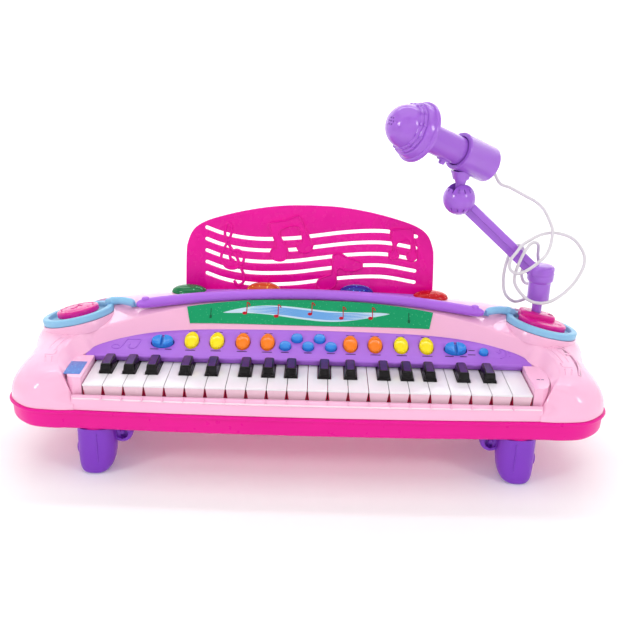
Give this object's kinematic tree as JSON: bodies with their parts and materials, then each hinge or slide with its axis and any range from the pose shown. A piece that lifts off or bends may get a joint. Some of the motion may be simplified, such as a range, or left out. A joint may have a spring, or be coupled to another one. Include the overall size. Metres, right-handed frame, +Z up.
{
  "type": "toy electronic keyboard",
  "caption": "Toy keyboard in a rounded two-part housing on short leg mouldings, with sprung keys and buttons, a drum pad, a lift-off music stand and a microphone on a swivelling arm.",
  "frame": {"origin": "on the floor, under the middle of the object's box without its cord", "axes": "+X to the player's right along the keys, +Y away from the player towards the music stand, +Z up"},
  "size_m": [0.497, 0.1694, 0.2976],
  "materials": {
    "pink_shell": "glossy injection moulding",
    "magenta_shell": "glossy injection moulding",
    "purple_shell": "glossy injection moulding",
    "leg_purple": "glossy injection moulding",
    "sky_blue_trim": "satin injection moulding",
    "key_white": "polished",
    "key_black": "polished",
    "button_yellow": "glossy",
    "button_orange": "glossy",
    "button_blue": "glossy",
    "lens_colour": "clear tinted, with fine glitter; each dome has its own tint",
    "board_green": "coated laminate",
    "cord_white": "soft vinyl jacket"
  },
  "bodies": {
    "housing": {"lower_housing": "magenta_shell", "upper_housing": "pink_shell", "control_panel": "purple_shell", "top_bar": "purple_shell", "blue_trim": "sky_blue_trim", "mic_socket": "magenta_shell", "lens_strip": "lens_colour", "leg_left": "leg_purple", "leg_right": "leg_purple", "circuit_board": "board_green", "battery_door": "magenta_shell"},
    "mic_arm": {"mic_arm": "purple_shell", "mic_cord": "cord_white"},
    "mic_holder": {"mic_holder": "purple_shell"},
    "microphone": {"microphone": "purple_shell"},
    "music_stand": {"music_stand": "magenta_shell"},
    "drum_pad": {"drum_pad": "magenta_shell"},
    "yellow_buttons": {"yellow_buttons": "button_yellow"},
    "orange_buttons": {"orange_buttons": "button_orange"},
    "blue_buttons": {"blue_buttons": "button_blue"},
    "power_button": {"power_button": "button_blue"},
    "record_rocker": {"record_rocker": "button_blue"},
    "volume_rocker": {"volume_rocker": "button_blue"},
    "white_key_01": {"white_key_01": "key_white"},
    "white_key_02": {"white_key_02": "key_white"},
    "white_key_03": {"white_key_03": "key_white"},
    "white_key_04": {"white_key_04": "key_white"},
    "white_key_05": {"white_key_05": "key_white"},
    "white_key_06": {"white_key_06": "key_white"},
    "white_key_07": {"white_key_07": "key_white"},
    "white_key_08": {"white_key_08": "key_white"},
    "white_key_09": {"white_key_09": "key_white"},
    "white_key_10": {"white_key_10": "key_white"},
    "white_key_11": {"white_key_11": "key_white"},
    "white_key_12": {"white_key_12": "key_white"},
    "white_key_13": {"white_key_13": "key_white"},
    "white_key_14": {"white_key_14": "key_white"},
    "white_key_15": {"white_key_15": "key_white"},
    "white_key_16": {"white_key_16": "key_white"},
    "white_key_17": {"white_key_17": "key_white"},
    "white_key_18": {"white_key_18": "key_white"},
    "white_key_19": {"white_key_19": "key_white"},
    "white_key_20": {"white_key_20": "key_white"},
    "white_key_21": {"white_key_21": "key_white"},
    "white_key_22": {"white_key_22": "key_white"},
    "black_key_01": {"black_key_01": "key_black"},
    "black_key_02": {"black_key_02": "key_black"},
    "black_key_03": {"black_key_03": "key_black"},
    "black_key_04": {"black_key_04": "key_black"},
    "black_key_05": {"black_key_05": "key_black"},
    "black_key_06": {"black_key_06": "key_black"},
    "black_key_07": {"black_key_07": "key_black"},
    "black_key_08": {"black_key_08": "key_black"},
    "black_key_09": {"black_key_09": "key_black"},
    "black_key_10": {"black_key_10": "key_black"},
    "black_key_11": {"black_key_11": "key_black"},
    "black_key_12": {"black_key_12": "key_black"},
    "black_key_13": {"black_key_13": "key_black"},
    "black_key_14": {"black_key_14": "key_black"},
    "black_key_15": {"black_key_15": "key_black"}
  },
  "joints": [
    {"name": "mic_swivel", "type": "hinge", "parent": "housing", "child": "mic_arm", "pos_m": [0.2036, 0.0355, 0.124], "axis": [0, 0, 1], "range_deg": [-40, 60]},
    {"name": "mic_tilt", "type": "hinge", "parent": "mic_arm", "child": "mic_holder", "pos_m": [0.126, 0.0355, 0.2145], "axis": [-0.4666, 0.8844, 0], "range_deg": [-25, 20], "deforming": ["mic_cord"]},
    {"name": "mic_slide", "type": "slide", "parent": "mic_holder", "child": "microphone", "axis": [-0.8145, -0.4297, 0.3898], "range_m": [0, 0.045]},
    {"name": "stand_lift", "type": "slide", "parent": "housing", "child": "music_stand", "axis": [0, 0.1219, 0.9925], "range_m": [0, 0.05]},
    {"name": "drum_press", "type": "slide", "parent": "housing", "child": "drum_pad", "axis": [0.207, -0.0959, -0.9736], "range_m": [0, 0.0015], "stiffness_N_per_m": 500, "springref_m": -0.001},
    {"name": "yellow_press", "type": "slide", "parent": "housing", "child": "yellow_buttons", "axis": [0, 0.342, -0.9397], "range_m": [0, 0.0015], "stiffness_N_per_m": 400, "springref_m": -0.001},
    {"name": "orange_press", "type": "slide", "parent": "housing", "child": "orange_buttons", "axis": [0, 0.342, -0.9397], "range_m": [0, 0.0015], "stiffness_N_per_m": 400, "springref_m": -0.001},
    {"name": "blue_press", "type": "slide", "parent": "housing", "child": "blue_buttons", "axis": [0, 0.342, -0.9397], "range_m": [0, 0.0015], "stiffness_N_per_m": 300, "springref_m": -0.001},
    {"name": "power_press", "type": "slide", "parent": "housing", "child": "power_button", "axis": [0, 0.342, -0.9397], "range_m": [0, 0.0015], "stiffness_N_per_m": 150, "springref_m": -0.001},
    {"name": "record_rock", "type": "hinge", "parent": "housing", "child": "record_rocker", "pos_m": [-0.127, -0.00388, 0.08902], "axis": [0, 0.9397, 0.342], "range_deg": [-4, 4], "stiffness_Nm_per_rad": 0.05},
    {"name": "volume_rock", "type": "hinge", "parent": "housing", "child": "volume_rocker", "pos_m": [0.127, -0.00388, 0.08902], "axis": [0, 0.9397, 0.342], "range_deg": [-4, 4], "stiffness_Nm_per_rad": 0.05},
    {"name": "white_key_01_press", "type": "hinge", "parent": "housing", "child": "white_key_01", "pos_m": [-0.17325, 0.0015, 0.073], "axis": [1, 0, 0], "range_deg": [0, 3.3], "stiffness_Nm_per_rad": 0.4, "springref_deg": -2.86},
    {"name": "white_key_02_press", "type": "hinge", "parent": "housing", "child": "white_key_02", "pos_m": [-0.15675, 0.0015, 0.073], "axis": [1, 0, 0], "range_deg": [0, 3.3], "stiffness_Nm_per_rad": 0.4, "springref_deg": -2.86},
    {"name": "white_key_03_press", "type": "hinge", "parent": "housing", "child": "white_key_03", "pos_m": [-0.14025, 0.0015, 0.073], "axis": [1, 0, 0], "range_deg": [0, 3.3], "stiffness_Nm_per_rad": 0.4, "springref_deg": -2.86},
    {"name": "white_key_04_press", "type": "hinge", "parent": "housing", "child": "white_key_04", "pos_m": [-0.12375, 0.0015, 0.073], "axis": [1, 0, 0], "range_deg": [0, 3.3], "stiffness_Nm_per_rad": 0.4, "springref_deg": -2.86},
    {"name": "white_key_05_press", "type": "hinge", "parent": "housing", "child": "white_key_05", "pos_m": [-0.10725, 0.0015, 0.073], "axis": [1, 0, 0], "range_deg": [0, 3.3], "stiffness_Nm_per_rad": 0.4, "springref_deg": -2.86},
    {"name": "white_key_06_press", "type": "hinge", "parent": "housing", "child": "white_key_06", "pos_m": [-0.09075, 0.0015, 0.073], "axis": [1, 0, 0], "range_deg": [0, 3.3], "stiffness_Nm_per_rad": 0.4, "springref_deg": -2.86},
    {"name": "white_key_07_press", "type": "hinge", "parent": "housing", "child": "white_key_07", "pos_m": [-0.07425, 0.0015, 0.073], "axis": [1, 0, 0], "range_deg": [0, 3.3], "stiffness_Nm_per_rad": 0.4, "springref_deg": -2.86},
    {"name": "white_key_08_press", "type": "hinge", "parent": "housing", "child": "white_key_08", "pos_m": [-0.05775, 0.0015, 0.073], "axis": [1, 0, 0], "range_deg": [0, 3.3], "stiffness_Nm_per_rad": 0.4, "springref_deg": -2.86},
    {"name": "white_key_09_press", "type": "hinge", "parent": "housing", "child": "white_key_09", "pos_m": [-0.04125, 0.0015, 0.073], "axis": [1, 0, 0], "range_deg": [0, 3.3], "stiffness_Nm_per_rad": 0.4, "springref_deg": -2.86},
    {"name": "white_key_10_press", "type": "hinge", "parent": "housing", "child": "white_key_10", "pos_m": [-0.02475, 0.0015, 0.073], "axis": [1, 0, 0], "range_deg": [0, 3.3], "stiffness_Nm_per_rad": 0.4, "springref_deg": -2.86},
    {"name": "white_key_11_press", "type": "hinge", "parent": "housing", "child": "white_key_11", "pos_m": [-0.00825, 0.0015, 0.073], "axis": [1, 0, 0], "range_deg": [0, 3.3], "stiffness_Nm_per_rad": 0.4, "springref_deg": -2.86},
    {"name": "white_key_12_press", "type": "hinge", "parent": "housing", "child": "white_key_12", "pos_m": [0.00825, 0.0015, 0.073], "axis": [1, 0, 0], "range_deg": [0, 3.3], "stiffness_Nm_per_rad": 0.4, "springref_deg": -2.86},
    {"name": "white_key_13_press", "type": "hinge", "parent": "housing", "child": "white_key_13", "pos_m": [0.02475, 0.0015, 0.073], "axis": [1, 0, 0], "range_deg": [0, 3.3], "stiffness_Nm_per_rad": 0.4, "springref_deg": -2.86},
    {"name": "white_key_14_press", "type": "hinge", "parent": "housing", "child": "white_key_14", "pos_m": [0.04125, 0.0015, 0.073], "axis": [1, 0, 0], "range_deg": [0, 3.3], "stiffness_Nm_per_rad": 0.4, "springref_deg": -2.86},
    {"name": "white_key_15_press", "type": "hinge", "parent": "housing", "child": "white_key_15", "pos_m": [0.05775, 0.0015, 0.073], "axis": [1, 0, 0], "range_deg": [0, 3.3], "stiffness_Nm_per_rad": 0.4, "springref_deg": -2.86},
    {"name": "white_key_16_press", "type": "hinge", "parent": "housing", "child": "white_key_16", "pos_m": [0.07425, 0.0015, 0.073], "axis": [1, 0, 0], "range_deg": [0, 3.3], "stiffness_Nm_per_rad": 0.4, "springref_deg": -2.86},
    {"name": "white_key_17_press", "type": "hinge", "parent": "housing", "child": "white_key_17", "pos_m": [0.09075, 0.0015, 0.073], "axis": [1, 0, 0], "range_deg": [0, 3.3], "stiffness_Nm_per_rad": 0.4, "springref_deg": -2.86},
    {"name": "white_key_18_press", "type": "hinge", "parent": "housing", "child": "white_key_18", "pos_m": [0.10725, 0.0015, 0.073], "axis": [1, 0, 0], "range_deg": [0, 3.3], "stiffness_Nm_per_rad": 0.4, "springref_deg": -2.86},
    {"name": "white_key_19_press", "type": "hinge", "parent": "housing", "child": "white_key_19", "pos_m": [0.12375, 0.0015, 0.073], "axis": [1, 0, 0], "range_deg": [0, 3.3], "stiffness_Nm_per_rad": 0.4, "springref_deg": -2.86},
    {"name": "white_key_20_press", "type": "hinge", "parent": "housing", "child": "white_key_20", "pos_m": [0.14025, 0.0015, 0.073], "axis": [1, 0, 0], "range_deg": [0, 3.3], "stiffness_Nm_per_rad": 0.4, "springref_deg": -2.86},
    {"name": "white_key_21_press", "type": "hinge", "parent": "housing", "child": "white_key_21", "pos_m": [0.15675, 0.0015, 0.073], "axis": [1, 0, 0], "range_deg": [0, 3.3], "stiffness_Nm_per_rad": 0.4, "springref_deg": -2.86},
    {"name": "white_key_22_press", "type": "hinge", "parent": "housing", "child": "white_key_22", "pos_m": [0.17325, 0.0015, 0.073], "axis": [1, 0, 0], "range_deg": [0, 3.3], "stiffness_Nm_per_rad": 0.4, "springref_deg": -2.86},
    {"name": "black_key_01_press", "type": "hinge", "parent": "housing", "child": "black_key_01", "pos_m": [-0.1678, 0.0015, 0.073], "axis": [1, 0, 0], "range_deg": [0, 3.3], "stiffness_Nm_per_rad": 0.4, "springref_deg": -2.86},
    {"name": "black_key_02_press", "type": "hinge", "parent": "housing", "child": "black_key_02", "pos_m": [-0.1485, 0.0015, 0.073], "axis": [1, 0, 0], "range_deg": [0, 3.3], "stiffness_Nm_per_rad": 0.4, "springref_deg": -2.86},
    {"name": "black_key_03_press", "type": "hinge", "parent": "housing", "child": "black_key_03", "pos_m": [-0.1296, 0.0015, 0.073], "axis": [1, 0, 0], "range_deg": [0, 3.3], "stiffness_Nm_per_rad": 0.4, "springref_deg": -2.86},
    {"name": "black_key_04_press", "type": "hinge", "parent": "housing", "child": "black_key_04", "pos_m": [-0.1018, 0.0015, 0.073], "axis": [1, 0, 0], "range_deg": [0, 3.3], "stiffness_Nm_per_rad": 0.4, "springref_deg": -2.86},
    {"name": "black_key_05_press", "type": "hinge", "parent": "housing", "child": "black_key_05", "pos_m": [-0.0801, 0.0015, 0.073], "axis": [1, 0, 0], "range_deg": [0, 3.3], "stiffness_Nm_per_rad": 0.4, "springref_deg": -2.86},
    {"name": "black_key_06_press", "type": "hinge", "parent": "housing", "child": "black_key_06", "pos_m": [-0.0523, 0.0015, 0.073], "axis": [1, 0, 0], "range_deg": [0, 3.3], "stiffness_Nm_per_rad": 0.4, "springref_deg": -2.86},
    {"name": "black_key_07_press", "type": "hinge", "parent": "housing", "child": "black_key_07", "pos_m": [-0.033, 0.0015, 0.073], "axis": [1, 0, 0], "range_deg": [0, 3.3], "stiffness_Nm_per_rad": 0.4, "springref_deg": -2.86},
    {"name": "black_key_08_press", "type": "hinge", "parent": "housing", "child": "black_key_08", "pos_m": [-0.0141, 0.0015, 0.073], "axis": [1, 0, 0], "range_deg": [0, 3.3], "stiffness_Nm_per_rad": 0.4, "springref_deg": -2.86},
    {"name": "black_key_09_press", "type": "hinge", "parent": "housing", "child": "black_key_09", "pos_m": [0.0137, 0.0015, 0.073], "axis": [1, 0, 0], "range_deg": [0, 3.3], "stiffness_Nm_per_rad": 0.4, "springref_deg": -2.86},
    {"name": "black_key_10_press", "type": "hinge", "parent": "housing", "child": "black_key_10", "pos_m": [0.0354, 0.0015, 0.073], "axis": [1, 0, 0], "range_deg": [0, 3.3], "stiffness_Nm_per_rad": 0.4, "springref_deg": -2.86},
    {"name": "black_key_11_press", "type": "hinge", "parent": "housing", "child": "black_key_11", "pos_m": [0.0632, 0.0015, 0.073], "axis": [1, 0, 0], "range_deg": [0, 3.3], "stiffness_Nm_per_rad": 0.4, "springref_deg": -2.86},
    {"name": "black_key_12_press", "type": "hinge", "parent": "housing", "child": "black_key_12", "pos_m": [0.0825, 0.0015, 0.073], "axis": [1, 0, 0], "range_deg": [0, 3.3], "stiffness_Nm_per_rad": 0.4, "springref_deg": -2.86},
    {"name": "black_key_13_press", "type": "hinge", "parent": "housing", "child": "black_key_13", "pos_m": [0.1014, 0.0015, 0.073], "axis": [1, 0, 0], "range_deg": [0, 3.3], "stiffness_Nm_per_rad": 0.4, "springref_deg": -2.86},
    {"name": "black_key_14_press", "type": "hinge", "parent": "housing", "child": "black_key_14", "pos_m": [0.1292, 0.0015, 0.073], "axis": [1, 0, 0], "range_deg": [0, 3.3], "stiffness_Nm_per_rad": 0.4, "springref_deg": -2.86},
    {"name": "black_key_15_press", "type": "hinge", "parent": "housing", "child": "black_key_15", "pos_m": [0.1509, 0.0015, 0.073], "axis": [1, 0, 0], "range_deg": [0, 3.3], "stiffness_Nm_per_rad": 0.4, "springref_deg": -2.86}
  ]
}
